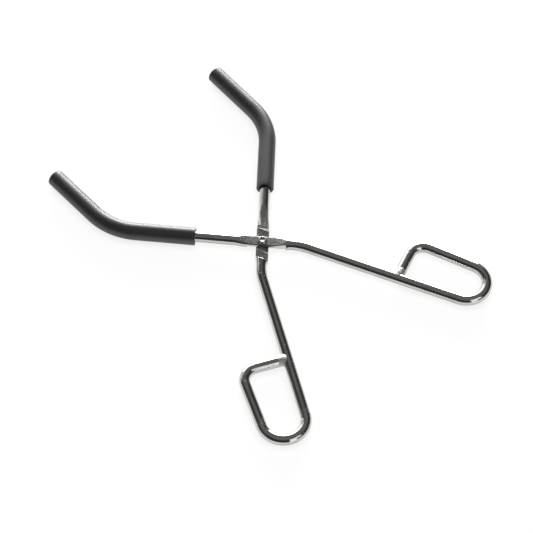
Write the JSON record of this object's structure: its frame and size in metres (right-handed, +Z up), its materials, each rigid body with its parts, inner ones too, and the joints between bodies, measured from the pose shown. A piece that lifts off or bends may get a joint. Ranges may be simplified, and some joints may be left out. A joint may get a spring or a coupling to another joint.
{
  "type": "beaker tongs",
  "caption": "Scissor-type beaker tongs: crossed plated rods riveted at the pivot, with soft sleeved jaws and welded finger loops.",
  "frame": {"origin": "centre of the bounding box in plan, on the flat surface that the tongs lie on", "axes": "+X along the centreline of the tongs towards the jaws, +Z up along the rivet, out of its domed head"},
  "size_m": [0.2238, 0.1648, 0.01],
  "materials": {
    "plated_rod": "bright nickel-chrome plate, satin on the pressed pivot flats",
    "black_sleeve": "smooth satin black rubber tube",
    "weld_metal": "plated weld bead, frosted grey",
    "rivet_steel": "bright peened rivet head"
  },
  "bodies": {
    "upper": {"upper_arm": "plated_rod", "upper_jaw_sleeve": "black_sleeve", "upper_loop_weld": "weld_metal", "pivot_rivet": "rivet_steel"},
    "lower": {"lower_arm": "plated_rod", "lower_jaw_sleeve": "black_sleeve", "lower_loop_weld": "weld_metal"}
  },
  "joints": [
    {"name": "pivot", "type": "hinge", "parent": "upper", "child": "lower", "pos_m": [-0.00221, 0, 0.005], "axis": [0, 0, 1], "range_deg": [-44, 50]}
  ]
}
